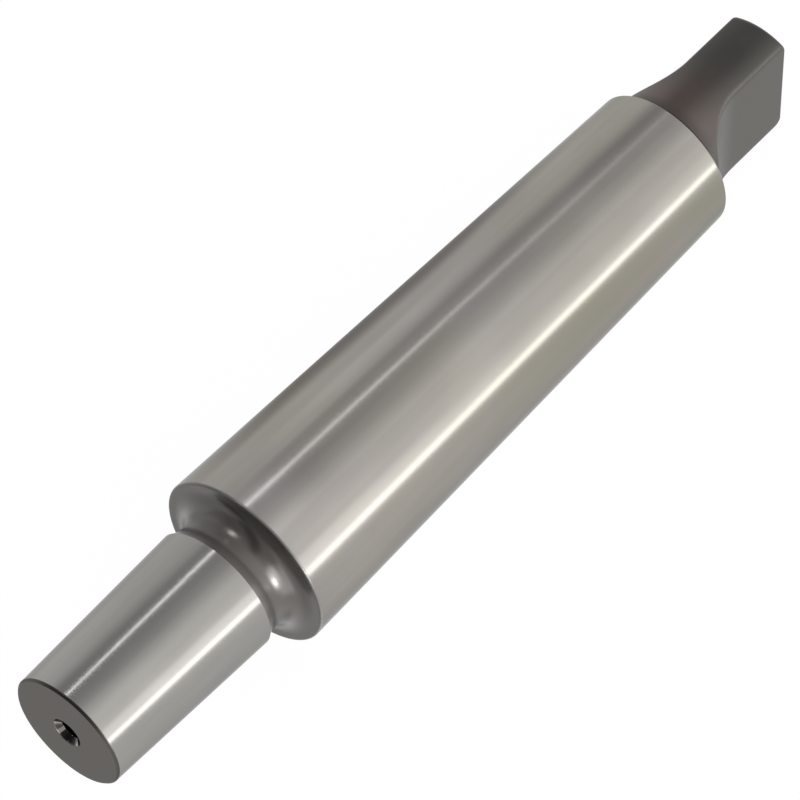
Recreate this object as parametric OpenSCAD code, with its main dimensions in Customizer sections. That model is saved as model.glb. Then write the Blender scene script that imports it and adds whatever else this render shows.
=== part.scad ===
// Drill chuck arbor, turned and ground from one bar of tool steel, in millimetres.
// Its axis runs along +X, from the chuck taper to the tang. The origin lies on the
// axis in the gauge plane of the shank, and the flats of the tang face -Y and +Y.

/* [Taper shank] */
// Diameter of the shank in its gauge plane
gauge_d = 23.825; // [20:0.005:45]
// Diameter that the shank loses per millimetre of length
shank_rate = 0.0502; // [0.04:0.0001:0.06]
// Length of the shank from the gauge plane forward to the shoulder
shank_front_l = 5; // [3:0.1:8]
// Length of the ground taper from the gauge plane back to its rear edge
shank_rear_l = 73.6; // [50:0.1:130]
// Size of the broken edge at the rear of the ground taper
rear_break = 0.4; // [0.1:0.1:1]

/* [Relief neck] */
// Length of the relief between the chuck taper and the shoulder
relief_l = 5; // [4.8:0.1:8]
// Step in radius from the large end of the chuck taper down to the relief
relief_step = 0.2; // [0.1:0.05:0.3]
// Depth of the relief below the large end of the chuck taper
relief_depth = 0.6; // [0.4:0.05:0.65]
// Radius of the fillet between the relief and the flat face of the shoulder
fillet_r = 3; // [2:0.1:3.1]
// Size of the broken edge round the shoulder
shoulder_break = 0.3; // [0.1:0.1:1]

/* [Chuck taper] */
// Diameter of the chuck taper at its large end
nose_d = 17.17; // [12:0.01:19]
// Diameter that the chuck taper loses per millimetre of length
nose_rate = 0.0519; // [0.03:0.0001:0.08]
// Length of the chuck taper with its broken edge
nose_l = 25.7; // [15:0.1:40]
// Size of the broken edge round the end face of the chuck taper
nose_break = 0.3; // [0.1:0.1:1]

/* [Drive tang] */
// Thickness of the tang across its flats
tang_t = 7.9; // [6:0.1:12]
// Step in radius from the rear of the ground taper down to the round edges of the tang
tang_step = 1.4; // [1:0.1:2]
// Length of the flats up to the end face of the tang
tang_flat_l = 9.9; // [5:0.1:16]
// Radius of the cutter's run-out between the flats and the round root
tang_scoop_r = 10.5; // [6:0.5:16]
// Length of the round root between the shank and the run-out
tang_root_l = 0.3; // [0.1:0.1:2]
// Size of the broken edge round the end face of the tang
tang_break = 0.8; // [0.2:0.1:1.5]

/* [Centre holes] */
// Diameter of the pilot hole
pilot_d = 3.2; // [2:0.1:3.5]
// Length of the pilot hole's straight wall
pilot_l = 3; // [1:0.1:6]
// Diameter of the countersink at its mouth
countersink_d = 4.2; // [3.6:0.1:5.5]
// Angle of the countersink
countersink_angle = 60; // [60:5:90]
// Angle of the drilled point at the bottom of the pilot hole
drill_angle = 118; // [90:1:140]

/* [Hidden] */
$fn = 96;
ground_steel = [0.72, 0.71, 0.69];
dark_steel = [0.36, 0.35, 0.33];
// How far a cutting shape reaches past the face that it opens
cut_reach = 1;

// Radius of the shank at a place along the axis
function shank_r(x) = (gauge_d - shank_rate * x) / 2;
// Length of a cone that changes its radius by dr and has this included angle
function cone_l(dr, angle) = dr / tan(angle / 2);

// Places along the axis, from the tip of the chuck taper to the end of the tang
shoulder_x = -shank_front_l;
ground_front_x = shoulder_x + shoulder_break;
nose_root_x = shoulder_x - relief_l;
nose_tip_x = nose_root_x - nose_l;
ground_rear_x = shank_rear_l;
tang_root_x = ground_rear_x + rear_break;
run_out_x = tang_root_x + tang_root_l;

// Radii of the chuck taper, the shoulder and the tang
nose_root_r = nose_d / 2;
nose_tip_r = nose_root_r - nose_rate * nose_l / 2;
shoulder_r = shank_r(ground_front_x) - shoulder_break;
tang_r = shank_r(ground_rear_x) - tang_step;

// Behind its step the relief narrows in a straight line, which runs into the fillet
// without a kink; the fillet ends on the flat face of the shoulder.
relief_r = nose_root_r - relief_step;
fillet_x = shoulder_x - fillet_r;
fillet_centre_r = nose_root_r - relief_depth + fillet_r;
line_dx = fillet_x - nose_root_x;
line_dr = fillet_centre_r - relief_r;
line_far = norm([line_dx, line_dr]);
line_l = sqrt(line_far * line_far - fillet_r * fillet_r);
line_angle = atan2(line_dr, line_dx) - asin(fillet_r / line_far);
touch_x = nose_root_x + line_l * cos(line_angle);
touch_r = relief_r + line_l * sin(line_angle);

// The run-out of the cutter is as long as its arc needs to leave the tang's round edge
scoop_depth = tang_r - tang_t / 2;
run_out_l = scoop_depth < tang_scoop_r
    ? sqrt(scoop_depth * (2 * tang_scoop_r - scoop_depth))
    : tang_scoop_r;
flat_x = run_out_x + run_out_l;
tang_tip_x = flat_x + tang_flat_l;

// Turns an outline of radius and place along the axis into a solid about +X
module turned() {
    rotate([0, 90, 0]) rotate_extrude() children();
}

// A centre-drilled hole that opens at the origin and goes in along +X
module centre_hole() {
    mouth_r = countersink_d / 2;
    pilot_r = pilot_d / 2;
    countersink_l = cone_l(mouth_r - pilot_r, countersink_angle);
    wall_end = countersink_l + pilot_l;
    turned() polygon([
        [0, -cut_reach],
        [mouth_r + cut_reach * tan(countersink_angle / 2), -cut_reach],
        [pilot_r, countersink_l],
        [pilot_r, wall_end],
        [0, wall_end + cone_l(pilot_r, drill_angle)],
    ]);
}

// The ground taper that the chuck is pressed on, with a centre hole in its end face
module chuck_taper() {
    color(ground_steel) difference() {
        turned() polygon([
            [0, nose_tip_x],
            [nose_tip_r - nose_break, nose_tip_x],
            [nose_tip_r, nose_tip_x + nose_break],
            [nose_root_r, nose_root_x],
            [0, nose_root_x],
        ]);
        translate([nose_tip_x, 0, 0]) centre_hole();
    }
}

// The turned relief that lets the chuck seat, up to the broken edge of the shoulder
module relief_neck() {
    color(dark_steel) turned() difference() {
        polygon([
            [0, nose_root_x],
            [relief_r, nose_root_x],
            [touch_r, touch_x],
            [fillet_centre_r, fillet_x],
            [fillet_centre_r, shoulder_x],
            [shoulder_r, shoulder_x],
            [shank_r(ground_front_x), ground_front_x],
            [0, ground_front_x],
        ]);
        translate([fillet_centre_r, fillet_x]) circle(fillet_r);
    }
}

// The ground self-holding taper, up to the flat face that the tang stands on
module taper_shank() {
    color(ground_steel) turned() polygon([
        [0, ground_front_x],
        [shank_r(ground_front_x), ground_front_x],
        [shank_r(ground_rear_x), ground_rear_x],
        [shank_r(ground_rear_x) - rear_break, tang_root_x],
        [0, tang_root_x],
    ]);
}

// Everything that the cutter takes off one side of the tang, seen along +Z
module flat_outline() {
    centre_y = tang_t / 2 + tang_scoop_r;
    flat_reach = tang_flat_l + cut_reach;
    translate([flat_x, centre_y]) circle(tang_scoop_r);
    translate([flat_x, tang_t / 2]) square([flat_reach, tang_r]);
    translate([flat_x - tang_scoop_r, centre_y]) square([tang_scoop_r + flat_reach, tang_r]);
}

// The flat tang that the spindle drives and the drift pushes out
module drive_tang() {
    color(dark_steel) difference() {
        turned() polygon([
            [0, tang_root_x],
            [tang_r, tang_root_x],
            [tang_r, tang_tip_x - tang_break],
            [tang_r - tang_break, tang_tip_x],
            [0, tang_tip_x],
        ]);
        for (side = [0, 1])
            mirror([0, side, 0])
                linear_extrude(2 * (tang_r + cut_reach), center = true) flat_outline();
        translate([tang_tip_x, 0, 0]) mirror([1, 0, 0]) centre_hole();
    }
}

chuck_taper();
relief_neck();
taper_shank();
drive_tang();
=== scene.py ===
"""Looks of a drill chuck arbor: ground tapers, a dark relief neck and a dark milled tang.

Metres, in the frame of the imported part: +X runs along the axis from the chuck taper
to the tang, the flats of the tang face -Y and +Y, and the arbor lies on its side.
"""
import math

import bmesh
import bpy
from mathutils import Matrix, Vector


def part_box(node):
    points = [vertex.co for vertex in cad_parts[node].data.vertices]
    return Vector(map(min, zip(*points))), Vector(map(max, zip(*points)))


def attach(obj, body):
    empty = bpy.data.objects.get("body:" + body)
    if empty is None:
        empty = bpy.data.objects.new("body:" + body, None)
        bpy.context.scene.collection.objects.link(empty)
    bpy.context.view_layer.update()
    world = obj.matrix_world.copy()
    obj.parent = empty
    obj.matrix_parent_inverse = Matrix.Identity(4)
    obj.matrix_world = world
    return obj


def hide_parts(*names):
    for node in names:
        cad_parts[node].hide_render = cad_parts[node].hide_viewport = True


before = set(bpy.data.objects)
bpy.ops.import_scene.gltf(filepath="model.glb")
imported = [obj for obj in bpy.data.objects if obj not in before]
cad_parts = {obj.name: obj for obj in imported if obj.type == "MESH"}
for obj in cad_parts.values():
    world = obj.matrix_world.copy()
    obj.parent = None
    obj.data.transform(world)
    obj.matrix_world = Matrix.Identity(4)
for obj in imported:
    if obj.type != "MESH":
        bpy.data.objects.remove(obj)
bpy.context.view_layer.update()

MM = 0.001

# Places along the axis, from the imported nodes
nose_tip_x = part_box("chuck_taper")[0].x
nose_root_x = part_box("chuck_taper")[1].x
ground_front_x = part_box("taper_shank")[0].x
tang_root_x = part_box("drive_tang")[0].x
tang_tip_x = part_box("drive_tang")[1].x

# Ground tapers: diameters, the diameter lost per length, and the broken edges
gauge_d = 23.825 * MM
shank_rate = 0.0502
shoulder_break = 0.3 * MM
rear_break = 0.4 * MM
nose_d = 17.17 * MM
nose_rate = 0.0519
nose_break = 0.3 * MM

# Relief neck: step and depth below the chuck taper, and the fillet
relief_step = 0.2 * MM
relief_depth = 0.6 * MM
fillet_r = 3.0 * MM

# Tang: thickness, step below the ground taper, cutter radius, root length and rounded edges
tang_t = 7.9 * MM
tang_step = 1.4 * MM
tang_scoop_r = 10.5 * MM
tang_root_l = 0.3 * MM
tang_edge_round = 0.8 * MM
# Rounding of the tang's end on its round sides and on its flats
tip_round = 1.05 * MM
tip_flat_round = 0.2 * MM

# Centre holes
pilot_r = 1.6 * MM
pilot_l = 3.0 * MM
mouth_r = 2.1 * MM
countersink_half_angle = math.radians(30)
drill_half_angle = math.radians(59)
countersink_l = (mouth_r - pilot_r) / math.tan(countersink_half_angle)
drill_point_l = pilot_r / math.tan(drill_half_angle)

# Small rounding left on turned and ground edges
edge_round = 0.08 * MM
# Distance of the ring that keeps a flat face flat beside a rounded edge
guard = 0.03 * MM

# Mesh resolution of the turned pieces
segments = 192
arc_steps = 6
relief_steps = 10
fillet_steps = 40
taper_rings = 24

# Mesh resolution of the tang
flat_steps = 10
edge_steps = 6
round_steps = 16
scoop_rings = 40
flat_rings = 9
tip_steps = 8

# Points closer than this are welded, and faces that meet at more than this angle shade sharp
weld_distance = 0.2e-6
sharp_angle = math.radians(40)


def shank_r(x):
    """Radius of the ground shank at a place along the axis."""
    return (gauge_d - shank_rate * x) / 2


# Radii and places that follow from the sizes above
shoulder_x = ground_front_x - shoulder_break
ground_rear_x = tang_root_x - rear_break
run_out_x = tang_root_x + tang_root_l
nose_root_r = nose_d / 2
nose_tip_r = nose_root_r - nose_rate * (nose_root_x - nose_tip_x) / 2
shoulder_r = shank_r(ground_front_x) - shoulder_break
tang_r = shank_r(ground_rear_x) - tang_step
fillet_centre = Vector((shoulder_x - fillet_r, nose_root_r - relief_depth + fillet_r))
scoop_angle = math.acos(1 - (tang_r - tang_t / 2) / tang_scoop_r)
flat_x = run_out_x + tang_scoop_r * math.sin(scoop_angle)


# Node trees

class Wire:
    """An output in a node tree. Arithmetic on it adds Math nodes, and node() adds any other node."""

    def __init__(self, tree, socket=None):
        self.tree = tree
        self.socket = socket

    def node(self, kind, settings=None, inputs=None, output=0):
        """Add a node with its settings, then its socket values or links, and return one output."""
        made = self.tree.nodes.new(kind)
        for name, value in (settings or {}).items():
            if name == "stops":
                set_stops(made.color_ramp, value)
            else:
                setattr(made, name, value)
        for key, value in (inputs or {}).items():
            if isinstance(value, Wire):
                self.tree.links.new(value.socket, made.inputs[key])
            else:
                made.inputs[key].default_value = value
        return Wire(self.tree, made.outputs[output] if len(made.outputs) else None)

    def math(self, operation, *values):
        """Result of a Math node."""
        return self.node("ShaderNodeMath", {"operation": operation}, dict(enumerate(values)))

    def __add__(self, other):
        return self.math("ADD", self, other)

    def __sub__(self, other):
        return self.math("SUBTRACT", self, other)

    def __rsub__(self, other):
        return self.math("SUBTRACT", other, self)

    def __mul__(self, other):
        return self.math("MULTIPLY", self, other)

    def __truediv__(self, other):
        return self.math("DIVIDE", self, other)

    __radd__ = __add__
    __rmul__ = __mul__

    def step(self, low, high):
        """Smooth step of this value: 0 at low and 1 at high."""
        inputs = {"Value": self, "From Min": low, "From Max": high}
        return self.node("ShaderNodeMapRange", {"interpolation_type": "SMOOTHSTEP"}, inputs)

    def window(self, rise_start, rise_end, fall_start, fall_end):
        """1 where this value lies between its rise and its fall, with smooth sides."""
        return self.step(rise_start, rise_end) * (1 - self.step(fall_start, fall_end))

    def blend(self, first, second):
        """Colour that goes from first to second as this value goes from 0 to 1."""
        return self.node("ShaderNodeMix", {"data_type": "RGBA"}, {0: self, 6: first, 7: second}, 2)


def set_stops(ramp, stops):
    """Give a colour ramp grey stops, each a place and a level."""
    while len(ramp.elements) > 1:
        ramp.elements.remove(ramp.elements[-1])
    for number, (place, level) in enumerate(stops):
        element = ramp.elements[0] if number == 0 else ramp.elements.new(place)
        element.position = place
        element.color = (level, level, level, 1)


def parts(start, vector):
    """The three parts of a vector."""
    first = start.node("ShaderNodeSeparateXYZ", {}, {0: vector})
    return [Wire(start.tree, output) for output in first.socket.node.outputs]


def added(name, data):
    """New object in the scene."""
    thing = bpy.data.objects.new(name, data)
    bpy.context.scene.collection.objects.link(thing)
    return thing


# Outlines

def rounded(points, radius):
    """Outline through points, with an arc at each inner corner and a guard point beside each arc."""
    corners = [Vector(point) for point in points]
    outline = [corners[0]]
    for before, corner, after in zip(corners, corners[1:], corners[2:]):
        back = (before - corner).normalized()
        ahead = (after - corner).normalized()
        half = math.acos(max(-1, min(1, back.dot(ahead)))) / 2
        reach = radius / math.tan(half)
        centre = corner + (back + ahead).normalized() * (radius / math.sin(half))
        start = corner + back * reach - centre
        end = corner + ahead * reach - centre
        turn = math.pi - 2 * half
        outline.append(corner + back * (reach + guard))
        for number in range(arc_steps + 1):
            share = number / arc_steps
            first = math.sin((1 - share) * turn) / math.sin(turn)
            second = math.sin(share * turn) / math.sin(turn)
            outline.append(centre + start * first + end * second)
        outline.append(corner + ahead * (reach + guard))
    outline.append(corners[-1])
    return outline


def divided(outline, first_x, last_x, count):
    """Outline with its long straight run between about two places cut into equal lengths."""
    tolerance = 1.0 * MM
    cut = []
    for start, end in zip(outline, outline[1:]):
        cut.append(start)
        if abs(start.x - first_x) < tolerance and abs(end.x - last_x) < tolerance:
            cut.extend(start.lerp(end, number / count) for number in range(1, count))
    cut.append(outline[-1])
    return cut


def centre_hole_points(face_x, inward):
    """Corners of a centre hole, from the bottom on the axis out to its mouth in the end face."""
    wall_end = countersink_l + pilot_l
    return [
        (face_x + inward * (wall_end + drill_point_l), 0),
        (face_x + inward * wall_end, pilot_r),
        (face_x + inward * countersink_l, pilot_r),
        (face_x, mouth_r),
    ]


def nose_outline():
    """Chuck taper: centre hole, end face, broken edge and ground cone."""
    corners = centre_hole_points(nose_tip_x, 1) + [
        (nose_tip_x, nose_tip_r - nose_break),
        (nose_tip_x + nose_break, nose_tip_r),
        (nose_root_x, nose_root_r),
    ]
    outline = rounded(corners, edge_round) + [Vector((nose_root_x, 0))]
    return divided(outline, nose_tip_x, nose_root_x, taper_rings)


def arc_points(centre, radius, first, last, count):
    """Points on an arc between two angles, which count from +X towards larger radius."""
    points = []
    for number in range(count + 1):
        angle = first + (last - first) * number / count
        points.append(centre + radius * Vector((math.cos(angle), math.sin(angle))))
    return points


def neck_outline():
    """Relief neck: a straight run that narrows, a fillet, the shoulder's flat face and its round edge."""
    edge = Vector((nose_root_x, nose_root_r - relief_step))
    reach = fillet_centre - edge
    lean = math.atan2(reach.y, reach.x) - math.asin(fillet_r / reach.length)
    fillet = arc_points(fillet_centre, fillet_r, lean - math.pi / 2, 0, fillet_steps)
    run = [edge.lerp(fillet[0], number / relief_steps) for number in range(relief_steps)]
    rim_centre = Vector((ground_front_x, shoulder_r))
    rim = arc_points(rim_centre, shoulder_break, math.pi, math.pi / 2, 2 * arc_steps)
    guards = [Vector((shoulder_x, fillet_centre.y + guard)), Vector((shoulder_x, shoulder_r - guard))]
    return [Vector((nose_root_x, 0))] + run + fillet + guards + rim + [Vector((ground_front_x, 0))]


def shank_outline():
    """Ground shank, from the shoulder's edge to the flat face round the tang."""
    corners = [
        (ground_front_x, shank_r(ground_front_x)),
        (ground_rear_x, shank_r(ground_rear_x)),
        (tang_root_x, shank_r(ground_rear_x) - rear_break),
        (tang_root_x, 0),
    ]
    outline = [Vector((ground_front_x, 0))] + rounded(corners, edge_round)
    return divided(outline, ground_front_x, ground_rear_x, 2 * taper_rings)


# Turned pieces, made by one node tree that revolves an outline about the axis

def turning_tree():
    """Node tree that revolves a chain of points (place, radius) into a closed skin about +X."""
    tree = bpy.data.node_groups.new("turned form", "GeometryNodeTree")
    sockets = tree.interface
    sockets.new_socket("Outline", in_out="INPUT", socket_type="NodeSocketGeometry")
    sockets.new_socket("Segments", in_out="INPUT", socket_type="NodeSocketInt")
    sockets.new_socket("Weld distance", in_out="INPUT", socket_type="NodeSocketFloat")
    sockets.new_socket("Finish", in_out="INPUT", socket_type="NodeSocketMaterial")
    sockets.new_socket("Geometry", in_out="OUTPUT", socket_type="NodeSocketGeometry")
    start = Wire(tree)
    source = tree.nodes.new("NodeGroupInput")
    outline, sides, weld, finish = (Wire(tree, source.outputs[number]) for number in range(4))
    count = start.node("GeometryNodeAttributeDomainSize", {"component": "MESH"}, {0: outline})
    grid = start.node("GeometryNodeMeshGrid", {}, {"Vertices X": sides + 1, "Vertices Y": count})
    index = start.node("GeometryNodeInputIndex")
    column = start.math("FLOOR", (index + 0.5) / count)
    row = index - column * count
    position = start.node("GeometryNodeInputPosition")
    sampled = start.node(
        "GeometryNodeSampleIndex",
        {"data_type": "FLOAT_VECTOR", "domain": "POINT"},
        {"Geometry": outline, "Value": position, "Index": row},
    )
    place, radius = parts(start, sampled)[:2]
    angle = column / sides * (2 * math.pi)
    side = radius * start.math("SINE", angle)
    height = radius * start.math("COSINE", angle)
    target = start.node("ShaderNodeCombineXYZ", {}, {0: place, 1: side, 2: height})
    skin = start.node("GeometryNodeSetPosition", {}, {"Geometry": grid, "Position": target})
    skin = start.node("GeometryNodeMergeByDistance", {}, {"Geometry": skin, "Distance": weld})
    skin = start.node("GeometryNodeSetShadeSmooth", {}, {"Geometry": skin, "Shade Smooth": True})
    skin = start.node("GeometryNodeRealizeInstances", {}, {"Geometry": skin})
    skin = start.node("GeometryNodeSetMaterial", {}, {"Geometry": skin, "Material": finish})
    start.node("NodeGroupOutput", {}, {0: skin})
    return tree


def closed_outwards(mesh):
    """Weld a mesh's doubles and point its faces outwards."""
    work = bmesh.new()
    work.from_mesh(mesh)
    bmesh.ops.remove_doubles(work, verts=work.verts, dist=weld_distance)
    bmesh.ops.recalc_face_normals(work, faces=work.faces)
    work.to_mesh(mesh)
    work.free()


def turned_piece(name, outline, turning, finish):
    """Revolve an outline into a plain mesh object."""
    chain = bpy.data.meshes.new(name + "_outline")
    points = [(point.x, point.y, 0) for point in outline]
    links = [(number, number + 1) for number in range(len(points) - 1)]
    chain.from_pydata(points, links, [])
    piece = added(name, chain)
    modifier = piece.modifiers.new("turning", "NODES")
    modifier.node_group = turning
    sizes = {"Segments": segments, "Weld distance": weld_distance, "Finish": finish}
    for socket in turning.interface.items_tree:
        if socket.name in sizes:
            modifier[socket.identifier] = sizes[socket.name]
    graph = bpy.context.evaluated_depsgraph_get()
    mesh = bpy.data.meshes.new_from_object(piece.evaluated_get(graph))
    piece.modifiers.remove(modifier)
    piece.data = mesh
    bpy.data.meshes.remove(chain)
    mesh.name = name
    closed_outwards(mesh)
    mesh.set_sharp_from_angle(angle=sharp_angle)
    return piece


# Tang: sections along the axis, each a round bar cut by two flats with rounded edges

def quarter_section(radius, half_t, edge):
    """Quarter of a section, from the middle of the +Y flat up to the top, as (y, z, milled, edge)."""
    half_t = min(half_t, radius)
    centre_y = half_t - edge
    centre_z = math.sqrt(max(0, (radius - edge) ** 2 - centre_y ** 2))
    lean = math.atan2(centre_z, centre_y)
    points = []
    for number in range(flat_steps):
        points.append((half_t, centre_z * number / flat_steps, 1, 0))
    for number in range(edge_steps):
        share = number / edge_steps
        y = centre_y + edge * math.cos(lean * share)
        z = centre_z + edge * math.sin(lean * share)
        points.append((y, z, 1 - share, 4 * share * (1 - share)))
    for number in range(round_steps + 1):
        angle = lean + (math.pi / 2 - lean) * number / round_steps
        points.append((radius * math.cos(angle), radius * math.sin(angle), 0, 0))
    return points


def whole_section(x, radius, half_t):
    """Closed section at a place along the axis, as (x, y, z, milled, edge)."""
    quarter = quarter_section(radius, half_t, tang_edge_round)
    half = quarter + [(-y, z, milled, edge) for y, z, milled, edge in reversed(quarter[:-1])]
    ring = half + [(y, -z, milled, edge) for y, z, milled, edge in reversed(half[1:-1])]
    return [(x, y, z, milled, edge) for y, z, milled, edge in ring]


def half_thickness(x):
    """Half of the tang's thickness at a place along the axis, with the cutter's run-out."""
    if x >= flat_x:
        return tang_t / 2
    reach = min(flat_x - x, tang_scoop_r * math.sin(scoop_angle))
    return tang_t / 2 + tang_scoop_r - math.sqrt(tang_scoop_r ** 2 - reach ** 2)


def inset(x, radius):
    """How far a rounded edge of the end face lies inside the straight side at a place along the axis."""
    rest = max(0, radius - (tang_tip_x - x))
    return radius - math.sqrt(radius ** 2 - rest ** 2)


def tip_places():
    """Places along the axis of the sections over both roundings of the end face."""
    places = set()
    for radius in (tip_round, tip_flat_round):
        for number in range(tip_steps + 1):
            places.add(tang_tip_x - radius * (1 - math.sin(math.pi / 2 * number / tip_steps)))
    return sorted(places)


def tip_section(x, extra=0):
    """Section near the end face, with its round sides and flats set in by the rounding."""
    radius = tang_r - inset(x, tip_round) - extra
    return whole_section(x, radius, tang_t / 2 - inset(x, tip_flat_round) - extra)


def tang_sections():
    """Sections of the tang from its root to the flat end face."""
    sections = [whole_section(tang_root_x, tang_r, tang_r)]
    for number in range(scoop_rings + 1):
        angle = scoop_angle * (1 - (number / scoop_rings) ** 2)
        x = flat_x - tang_scoop_r * math.sin(angle)
        sections.append(whole_section(x, tang_r, half_thickness(x)))
    flat_end_x = tang_tip_x - tip_round - guard
    for number in range(1, flat_rings + 1):
        sections.append(tip_section(flat_x + (flat_end_x - flat_x) * number / flat_rings))
    sections += [tip_section(x) for x in tip_places()]
    sections.append(tip_section(tang_tip_x, guard))
    return sections


def hole_sections(ring):
    """Rings of the tang's centre hole, which follow the directions of the end face's ring."""
    corners = centre_hole_points(tang_tip_x, -1)
    corners.append((tang_tip_x, tang_t / 2 - tip_round))
    outline = rounded(corners, edge_round)
    sections = []
    for point in reversed(outline[1:-1]):
        loop = []
        for _, y, z, _, _ in ring:
            scale = point.y / math.hypot(y, z)
            loop.append((point.x, y * scale, z * scale, 0, 0))
        sections.append(loop)
    return sections, outline[0].x


def tang_piece(name, finish):
    """Skin over the sections, closed on the axis at both ends, with its milled and edge shares."""
    sections = tang_sections()
    hole, bottom_x = hole_sections(sections[-1])
    sections += hole
    size = len(sections[0])
    points = [point for section in sections for point in section]
    root_point = len(points)
    points.append((tang_root_x, 0, 0, 0, 0))
    bottom_point = len(points)
    points.append((bottom_x, 0, 0, 0, 0))
    last = (len(sections) - 1) * size
    faces = []
    for near in range(0, last, size):
        far = near + size
        for place in range(size):
            following = (place + 1) % size
            faces.append((near + place, near + following, far + following, far + place))
    for place in range(size):
        following = (place + 1) % size
        faces.append((root_point, following, place))
        faces.append((bottom_point, last + place, last + following))
    mesh = bpy.data.meshes.new(name)
    mesh.from_pydata([point[:3] for point in points], [], faces)
    for label, column in (("milled", 3), ("edge", 4)):
        layer = mesh.attributes.new(label, "FLOAT", "POINT")
        layer.data.foreach_set("value", [point[column] for point in points])
    mesh.materials.append(finish)
    closed_outwards(mesh)
    mesh.polygons.foreach_set("use_smooth", [True] * len(mesh.polygons))
    return added(name, mesh)


# Finishes

# Depth of the marks on each kind of surface, and the spacing of tool marks
ground_depth = 0.25e-6
turned_depth = 0.6e-6
milled_depth = 1.2e-6
turning_feed = 0.12 * MM
milling_feed = 0.25 * MM

# Directions across the axis that place painted light and shade, as shares towards -Y and towards +Z
camera_side = (0.44, 0.9)
beside_camera = (0.9, -0.44)
painted_glow_side = (0.85, 0.53)
painted_light_side = (0.2, 0.98)

# Painted dark reflection in the relief, drawn as an oblique dark streak: its radius on the side of the
# camera, and the radius it loses beside it
dark_reflection_r = 8.45 * MM
dark_reflection_slope = 3.0 * MM


def new_finish(name):
    """Empty material and the start of its node tree."""
    material = bpy.data.materials.new(name)
    material.use_nodes = True
    material.node_tree.nodes.clear()
    return material, Wire(material.node_tree)


def object_place(start):
    """Object coordinates, which are the part's own."""
    return start.node("ShaderNodeTexCoord", output="Object")


def attribute(start, name):
    """Value that the mesh keeps under a name."""
    return start.node("ShaderNodeAttribute", {"attribute_name": name}, output="Fac")


def from_axis(start, y, z):
    """Distance from the axis."""
    return start.math("SQRT", y * y + z * z)


def across(y, z, direction):
    """Distance from the axis along a direction across it."""
    side, up = direction
    return up * z - side * y


def noise(start, coordinates, scale, detail=2.0):
    """Noise that is stretched by a scale along each axis, from 0 to 1."""
    stretched = start.node("ShaderNodeMapping", {}, {"Vector": coordinates, "Scale": scale})
    inputs = {"Vector": stretched, "Scale": 1.0, "Detail": detail}
    return start.node("ShaderNodeTexNoise", {"noise_dimensions": "3D"}, inputs)


def rings(start, distance, spacing):
    """Uneven rings at about this spacing along a distance, from 0 to 1."""
    inputs = {"W": distance / spacing, "Scale": 1.0, "Detail": 3.0}
    return start.node("ShaderNodeTexNoise", {"noise_dimensions": "1D"}, inputs)


def bumped(start, height, depth):
    """Normal of a surface with this height, from 0 to 1, times a depth in metres."""
    inputs = {"Height": height, "Distance": depth, "Strength": 1.0}
    return start.node("ShaderNodeBump", {}, inputs)


def finished(start, colour, roughness, normal, metal=1.0, grazing=1.0):
    """Steel with this colour, roughness and normal; grazing is the share of light kept at grazing angles."""
    inputs = {"Base Color": colour, "Roughness": roughness, "Metallic": metal, "Normal": normal}
    inputs["Specular Tint"] = (grazing, grazing, grazing, 1)
    surface = start.node("ShaderNodeBsdfPrincipled", {}, inputs)
    start.node("ShaderNodeOutputMaterial", {}, {"Surface": surface})


def ground_colour(start, coordinates, cloud):
    """Grey on the chuck taper, a faint warm film on the shank and painted light on the upper side behind the
    shoulder.
    """
    x, y, z = parts(start, coordinates)
    streak = noise(start, coordinates, (14, 900, 900))
    tone = (0.75 * cloud + 0.25 * streak).step(0.3, 0.7)
    grey = tone.blend((0.31, 0.301, 0.283, 1), (0.35, 0.34, 0.32, 1))
    rosy = tone.blend((0.326, 0.305, 0.288, 1), (0.366, 0.343, 0.324, 1))
    golden = tone.blend((0.318, 0.302, 0.27, 1), (0.355, 0.337, 0.302, 1))
    film = noise(start, coordinates, (35, 90, 90)).step(0.35, 0.65)
    warm = film.blend(rosy, golden)
    flank = (0 - y).step(8.6 * MM, 9.6 * MM) * (0.3 + 0.7 * z.step(0, 3 * MM))
    tinted = flank * x.step(10 * MM, 55 * MM)
    warm = (tinted * (0.6 + 0.4 * film)).blend(warm, (0.295, 0.279, 0.232, 1))
    colour = x.step(nose_root_x, 0).blend(grey, warm)
    # Painted light: a lighter place on the upper side of the shank, just behind the shoulder
    painted_light_patch = across(y, z, painted_light_side).step(11.2 * MM, 11.85 * MM) * (1 - x.step(-3 * MM, 5 * MM))
    return painted_light_patch.blend(colour, (0.43, 0.405, 0.385, 1))


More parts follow.
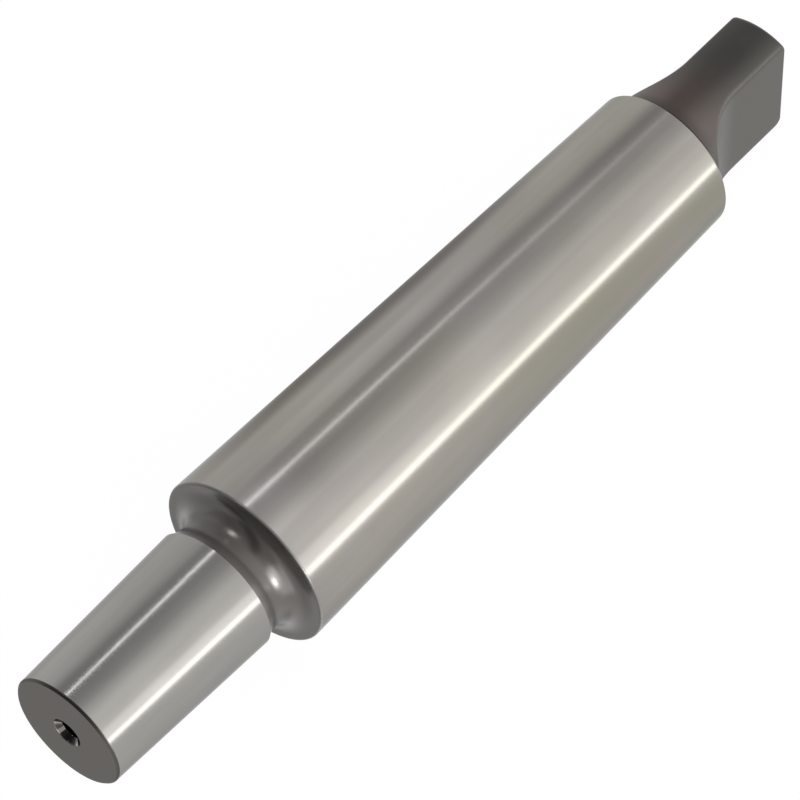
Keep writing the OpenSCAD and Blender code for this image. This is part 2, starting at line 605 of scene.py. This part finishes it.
def ground_steel():
    """Ground steel, with a dark turned end face, and a centre hole whose walls are brightened for painted
    glints, with a painted shade on the wall that faces the camera.
    """
    material, start = new_finish("ground_steel")
    coordinates = object_place(start)
    x, y, z = parts(start, coordinates)
    radius = from_axis(start, y, z)
    lay = noise(start, coordinates, (9000, 60, 60), 3.0)
    cloud = noise(start, coordinates, (60, 160, 160))
    in_hole = 1 - radius.step(mouth_r - 0.12 * MM, mouth_r)
    on_end = 1 - x.step(nose_tip_x + 0.34 * MM, nose_tip_x + 0.42 * MM)
    on_end = on_end * (1 - in_hole)
    # Painted shade: a darker ring on the broken edge round the nose's end face
    break_shade = x.step(nose_tip_x + 0.03 * MM, nose_tip_x + 0.09 * MM)
    faced = cloud.blend((0.128, 0.12, 0.11, 1), (0.148, 0.14, 0.128, 1))
    faced = break_shade.blend(faced, (0.1, 0.096, 0.09, 1))
    colour = on_end.blend(ground_colour(start, coordinates, cloud), faced)
    # Centre hole: walls brightened as a painted highlight for the glints, and a painted shade on the wall
    # that faces the camera
    painted_hole_shade = (0 - across(y, z, camera_side)).step(0.35 * pilot_r, 0.85 * pilot_r)
    hole_glints_and_shade = painted_hole_shade.blend((0.5, 0.48, 0.465, 1), (0.07, 0.065, 0.058, 1))
    colour = in_hole.blend(colour, hole_glints_and_shade)
    facing = rings(start, radius, turning_feed)
    height = lay * (1 - on_end) + facing * on_end
    roughness = 0.145 + 0.04 * cloud + 0.02 * lay + 0.17 * on_end - 0.08 * in_hole
    finished(start, colour, roughness, bumped(start, height, ground_depth), grazing=0.6)
    return material


def relief_colour(start, x, y, z, radius, cloud):
    """Dark steel, with painted shade towards the shoulder, a painted highlight round the bright spot,
    painted light to one side, an oblique painted dark reflection and painted shade at the ends.
    """
    inner = cloud.blend((0.092, 0.085, 0.078, 1), (0.116, 0.107, 0.099, 1))
    shaded_outer = cloud.blend((0.063, 0.058, 0.053, 1), (0.081, 0.075, 0.069, 1))
    # Painted shade: darker towards the shoulder's face, in the corner of the neck
    colour = radius.step(9.0 * MM, 10.0 * MM).blend(inner, shaded_outer)
    # Painted highlight: a pale glow round the bright spot on the fillet
    painted_glow = (across(y, z, painted_glow_side) / radius).step(0.95, 0.995)
    painted_glow = painted_glow * radius.window(8.0 * MM, 8.5 * MM, 8.9 * MM, 9.4 * MM)
    colour = painted_glow.blend(colour, (0.19, 0.177, 0.166, 1))
    sideways = across(y, z, beside_camera) / radius
    # Painted light: a lighter place on the fillet, to one side of the camera
    paler = sideways.window(-0.95, -0.75, -0.72, -0.5)
    paler = paler * radius.window(8.1 * MM, 8.5 * MM, 8.8 * MM, 9.3 * MM)
    colour = paler.blend(colour, (0.16, 0.15, 0.14, 1))
    # Painted dark reflection: an oblique dark streak across the fillet
    from_dark_reflection = start.math("ABSOLUTE", radius + dark_reflection_slope * sideways - dark_reflection_r)
    streak = (1 - from_dark_reflection.step(0.1 * MM, 0.75 * MM)) * x.step(-7.4 * MM, -6.6 * MM)
    streak = streak * sideways.window(-0.8, -0.62, -0.08, 0.14)
    colour = (0.8 * streak).blend(colour, (0.04, 0.036, 0.034, 1))
    # Painted shade: the inner fillet is darker at its sides seen edge-on from the camera
    painted_end_shade = 1 - (across(y, z, camera_side) / radius).step(0.2, 0.5)
    painted_end_shade = painted_end_shade * (1 - radius.step(8.3 * MM, 8.8 * MM))
    return painted_end_shade.blend(colour, (0.03, 0.028, 0.026, 1))


def relief_steel():
    """Turned relief left dark, with fine tool rings and a paler rim."""
    material, start = new_finish("relief_steel")
    coordinates = object_place(start)
    x, y, z = parts(start, coordinates)
    radius = from_axis(start, y, z)
    cloud = noise(start, coordinates, (200, 200, 200), 3.0)
    tool = rings(start, x + radius, turning_feed)
    on_rim = radius.step(shoulder_r + 0.1 * MM, shoulder_r + 0.28 * MM)
    colour = on_rim.blend(relief_colour(start, x, y, z, radius, cloud), (0.19, 0.182, 0.171, 1))
    roughness = 0.23 + 0.05 * cloud
    finished(start, colour, roughness, bumped(start, tool, turned_depth), metal=0.35)
    return material


def tang_steel():
    """Dark hardened skin, browner at the root, with painted light towards -Y and painted shade beside the
    shank's rim, and milled flats with cutter marks.
    """
    material, start = new_finish("tang_steel")
    coordinates = object_place(start)
    x, y = parts(start, coordinates)[:2]
    edge = attribute(start, "edge")
    on_flat = attribute(start, "milled").step(0.5, 1.0)
    cloud = noise(start, coordinates, (180, 180, 180), 4.0)
    grain = noise(start, coordinates, (4000, 4000, 4000))
    feed = rings(start, x, milling_feed)
    near_root = 1 - x.step(tang_root_x + 1.0 * MM, flat_x + 3.0 * MM)
    rim_shade = 1 - x.step(tang_root_x + 0.6 * MM, tang_root_x + 2.4 * MM)
    skin = cloud.blend((0.066, 0.062, 0.058, 1), (0.092, 0.087, 0.08, 1))
    # Painted light: the skin is paler on the -Y side
    skin = (0 - y).step(0.8 * MM, 3.8 * MM).blend(skin, (0.115, 0.11, 0.1, 1))
    off_middle = start.math("ABSOLUTE", y).step(0.3 * MM, 3.0 * MM)
    root = off_middle.blend((0.112, 0.088, 0.08, 1), (0.15, 0.126, 0.118, 1))
    root = (0 - y).step(4.2 * MM, 6.0 * MM).blend(root, (0.12, 0.106, 0.099, 1))
    # Painted shade: darker root just behind the shank's rim
    root = (0.6 * rim_shade).blend(root, (0.08, 0.076, 0.07, 1))
    skin = near_root.blend(skin, root)
    flat = cloud.blend((0.098, 0.095, 0.086, 1), (0.116, 0.113, 0.102, 1))
    colour = on_flat.blend(skin, flat)
    colour = (0.7 * edge * near_root).blend(colour, (0.16, 0.155, 0.145, 1))
    height = feed * on_flat + grain * (1 - on_flat)
    roughness = 0.42 + 0.08 * cloud - 0.06 * on_flat
    finished(start, colour, roughness, bumped(start, height, milled_depth))
    return material


# Pieces

def placed(piece, node):
    """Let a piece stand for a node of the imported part."""
    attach(piece, "root")
    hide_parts(node)


turning = turning_tree()
ground = ground_steel()
placed(turned_piece("ground_nose", nose_outline(), turning, ground), "chuck_taper")
placed(turned_piece("cove_neck", neck_outline(), turning, relief_steel()), "relief_neck")
placed(turned_piece("ground_shank", shank_outline(), turning, ground), "taper_shank")
placed(tang_piece("milled_tang", tang_steel()), "drive_tang")


# Stage: floor, card, lamps, surrounding light and camera

def pale_floor():
    """White floor with a trace of shadow, which shows alike to the camera and in the metal."""
    material, start = new_finish("pale_floor")
    white_share = 0.95
    white_level = 1.02
    rays = ("Is Camera Ray", "Is Glossy Ray", "Is Transmission Ray")
    camera, glossy, through = (start.node("ShaderNodeLightPath", output=ray) for ray in rays)
    seen = start.math("MINIMUM", camera + glossy + through, 1.0)
    lit = start.node("ShaderNodeBsdfDiffuse", {}, {"Color": (0.9, 0.9, 0.895, 1)})
    white = start.node("ShaderNodeEmission", {}, {"Color": (1, 1, 1, 1), "Strength": white_level})
    mixed = start.node("ShaderNodeMixShader", {}, {0: seen * white_share, 1: lit, 2: white})
    start.node("ShaderNodeOutputMaterial", {}, {"Surface": mixed})
    return material


def floor_under_shank(half_size):
    """Plane along the lowest line of the shank, where a lying taper rests."""
    mesh = bpy.data.meshes.new("floor")
    near = [(-half_size, -half_size), (half_size, -half_size)]
    far = [(half_size, half_size), (-half_size, half_size)]
    mesh.from_pydata([(x, y, -shank_r(x)) for x, y in near + far], [], [(0, 1, 2, 3)])
    mesh.materials.append(pale_floor())
    floor = added("floor", mesh)


def shade_card():
    """Sloping card behind the shank, seen only in the metal: a shade that fades at its ends and top."""
    left_x, full_left_x, full_right_x, right_x = 8 * MM, 26 * MM, 54 * MM, 80 * MM
    near_y, full_y, far_y = 12 * MM, 28 * MM, 66 * MM
    low_z, high_z = -12.2 * MM, 14.8 * MM
    mesh = bpy.data.meshes.new("shade_card")
    near = [(left_x, near_y, low_z), (right_x, near_y, low_z)]
    far = [(right_x, far_y, high_z), (left_x, far_y, high_z)]
    mesh.from_pydata(near + far, [], [(0, 1, 2, 3)])
    material, start = new_finish("shade_card")
    x, y = parts(start, object_place(start))[:2]
    shade = x.window(left_x, full_left_x, full_right_x, right_x) * (1 - y.step(full_y, far_y))
    colour = shade.blend((0.95, 0.95, 0.95, 1), (0.5, 0.485, 0.475, 1))
    grey = start.node("ShaderNodeEmission", {}, {"Color": colour, "Strength": 1.0})
    start.node("ShaderNodeOutputMaterial", {}, {"Surface": grey})
    mesh.materials.append(material)
    card = added("shade_card", mesh)
    card.visible_camera = False
    card.visible_diffuse = False
    card.visible_shadow = False


def strip_lamp(name, centre, direction, length, width, radiance, colour):
    """Area lamp with its length along the arbor, which faces along a direction."""
    light = bpy.data.lights.new(name, "AREA")
    light.shape = "RECTANGLE"
    light.size = length
    light.size_y = width
    light.energy = radiance * math.pi * length * width
    light.color = colour
    ahead = Vector(direction).normalized()
    sideways = (-ahead).cross(Vector((1, 0, 0))).normalized()
    lengthways = sideways.cross(-ahead)
    turn = Matrix((lengthways, sideways, -ahead)).transposed().to_4x4()
    lamp = added(name, light)
    lamp.matrix_world = Matrix.Translation(Vector(centre)) @ turn
    lamp.visible_camera = False


def ramp_place(degrees):
    """Place on the ramp of the surrounding light, for an angle from the zenith towards -Y."""
    return 0.5 + degrees / 360


def surrounding_light(levels, dark_side):
    """Studio walls and ceiling: a level for each angle from the zenith towards -Y, dim behind the camera."""
    # A ramp holds levels up to 1, so it keeps them as shares of this one
    top_level = 3
    world = bpy.data.worlds.new("studio")
    world.use_nodes = True
    world.node_tree.nodes.clear()
    start = Wire(world.node_tree)
    x, y, z = parts(start, start.node("ShaderNodeTexCoord", output="Generated"))
    turn = start.math("ARCTAN2", y * -1, z) / (2 * math.pi) + 0.5
    stops = [(ramp_place(degrees), level / top_level) for degrees, level in levels]
    level = start.node("ShaderNodeValToRGB", {"stops": stops}, {0: turn})
    dim = dark_side + (1 - dark_side) * x.step(-0.68, -0.05)
    near_tubes = turn.window(ramp_place(-50), ramp_place(-40), ramp_place(-8), ramp_place(8))
    colour = near_tubes.blend((1, 1, 1, 1), (0.98, 0.965, 1, 1))
    inputs = {"Color": colour, "Strength": top_level * level * dim}
    light = start.node("ShaderNodeBackground", {}, inputs)
    start.node("ShaderNodeOutputWorld", {}, {"Surface": light})
    bpy.context.scene.world = world


def photo_camera(azimuth, elevation, roll, target, distance, lens):
    """Camera that looks at a target from an azimuth and elevation in degrees."""
    a, e, r = (math.radians(angle) for angle in (azimuth, elevation, roll))
    right = Vector((math.cos(a), math.sin(a), 0))
    forward = Vector((-math.sin(a) * math.cos(e), math.cos(a) * math.cos(e), -math.sin(e)))
    up = right.cross(forward)
    rolled_right = right * math.cos(r) + up * math.sin(r)
    rolled_up = up * math.cos(r) - right * math.sin(r)
    data = bpy.data.cameras.new("camera")
    data.lens = lens
    data.sensor_width = 36.0
    data.clip_start = 0.01
    data.clip_end = 100.0
    camera = added("camera", data)
    turn = Matrix((rolled_right, rolled_up, -forward)).transposed().to_4x4()
    camera.matrix_world = Matrix.Translation(Vector(target) - forward * distance) @ turn
    bpy.context.scene.camera = camera


white = (1, 1, 1)
cool_white = (0.94, 0.97, 1.0)

# Each lamp's name, centre, direction, length, width, radiance and colour
lamps = [
    ("overhead_tube", (0.244, 0.262, 0.70), (0, -0.35, -0.94), 0.17, 0.028, 5.0, cool_white),
    ("overhead_tube_end", (0.389, 0.25, 0.70), (0, -0.34, -0.94), 0.12, 0.028, 3.1, cool_white),
    ("overhead_tube_tail", (0.495, 0.23, 0.70), (0, -0.34, -0.94), 0.09, 0.028, 0.95, cool_white),
    ("overhead_panel", (0.80, -0.065, 0.75), (0, 0, -1), 0.82, 0.75, 0.2, white),
    ("overhead_panel_back", (0.485, 0.565, 0.75), (0, 0, -1), 0.19, 0.51, 0.2, white),
    ("top_lamp", (-0.31, 0.29, 0.70), (0.4, -0.36, -0.85), 0.22, 0.12, 11.5, white),
    ("low_softbox", (0.408, -0.80, 0.05), (0, 1, 0), 0.50, 0.13, 2.3, white),
    ("front_panel", (0.06, -0.40, 0.135), (0, 1, 0), 0.34, 0.10, 0.4, white),
    ("side_lamp", (-0.18, -0.80, 0.07), (0.2, 0.97, -0.08), 0.26, 0.20, 22.0, white),
    ("side_panel", (-0.38, -0.78, 0.20), (0.43, 0.88, -0.2), 0.62, 0.42, 2.8, white),
    ("back_panel", (0.264, 0.375, 0.28), (0, -0.81, -0.585), 0.05, 0.20, 0.26, white),
]

# Level of the surrounding light at angles from the zenith towards -Y, in degrees
studio_levels = [
    (-130, 0.9), (-95, 0.92), (-80, 0.92), (-54, 0.79), (-36, 0.43), (-5, 0.47), (10, 0.6),
    (28, 1.0), (37, 1.16), (48, 1.24), (60, 1.28), (70, 1.55), (80, 1.7), (100, 1.7), (130, 1.0),
]

floor_under_shank(3.0)
shade_card()
for lamp in lamps:
    strip_lamp(*lamp)
surrounding_light(studio_levels, dark_side=0.15)
photo_camera(
    azimuth=-47.882,
    elevation=53.886,
    roll=-2.0246,
    target=(0.024449, 0.000976, 0.000516),
    distance=0.59355,
    lens=222.25,
)

scene = bpy.context.scene
scene.view_settings.view_transform = "Standard"
